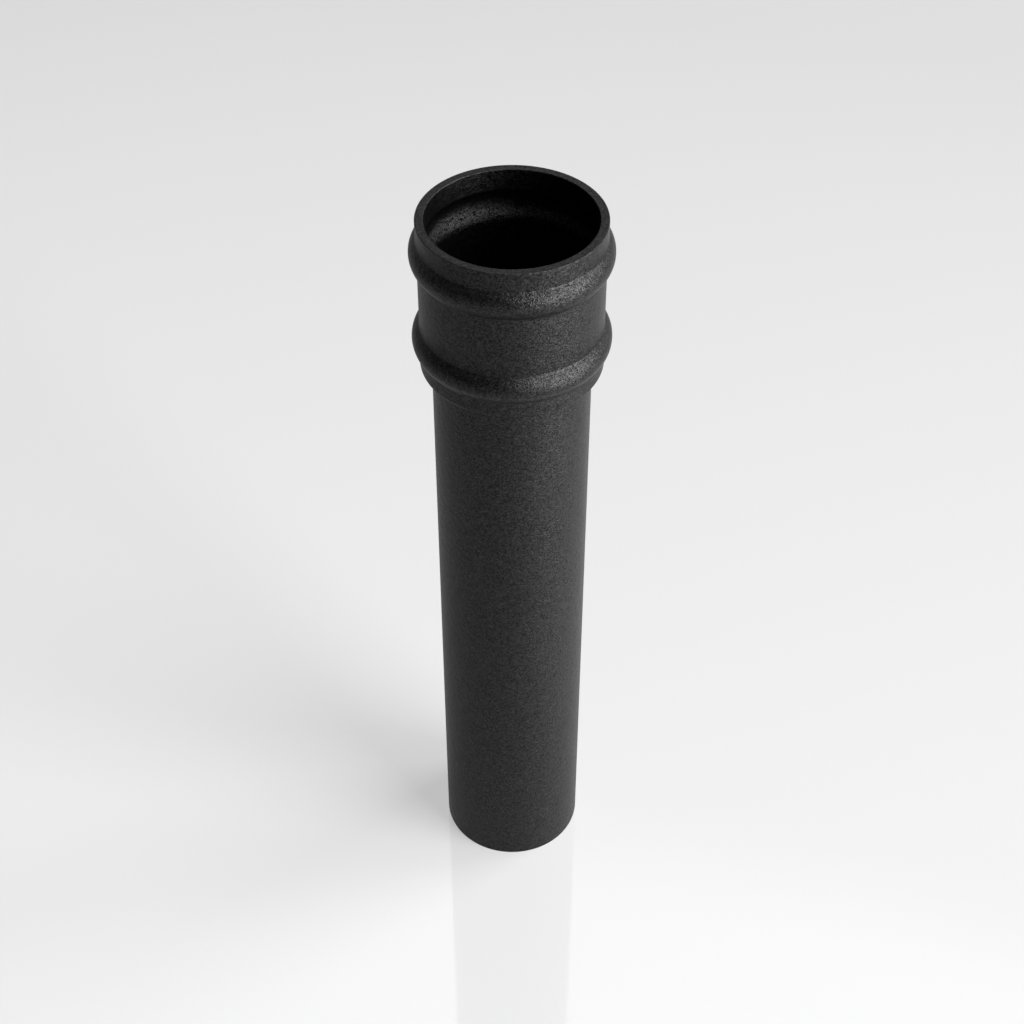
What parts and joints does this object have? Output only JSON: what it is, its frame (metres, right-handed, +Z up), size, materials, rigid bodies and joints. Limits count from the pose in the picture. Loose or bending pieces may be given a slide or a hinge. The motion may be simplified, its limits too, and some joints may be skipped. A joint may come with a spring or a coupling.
{
  "type": "downpipe",
  "caption": "Round black metal rainwater downpipe with a beaded push-fit socket on its top end and a plain bottom end.",
  "frame": {"origin": "centre of the plain bottom end, on the pipe's axis", "axes": "+Z up the pipe's axis, towards the socket's rim; X and Y are equal, because the pipe is round"},
  "size_m": [0.0939, 0.0938, 0.4156],
  "materials": {
    "painted_casting": "matte"
  },
  "bodies": {
    "root": {"downpipe": "painted_casting"}
  },
  "joints": []
}
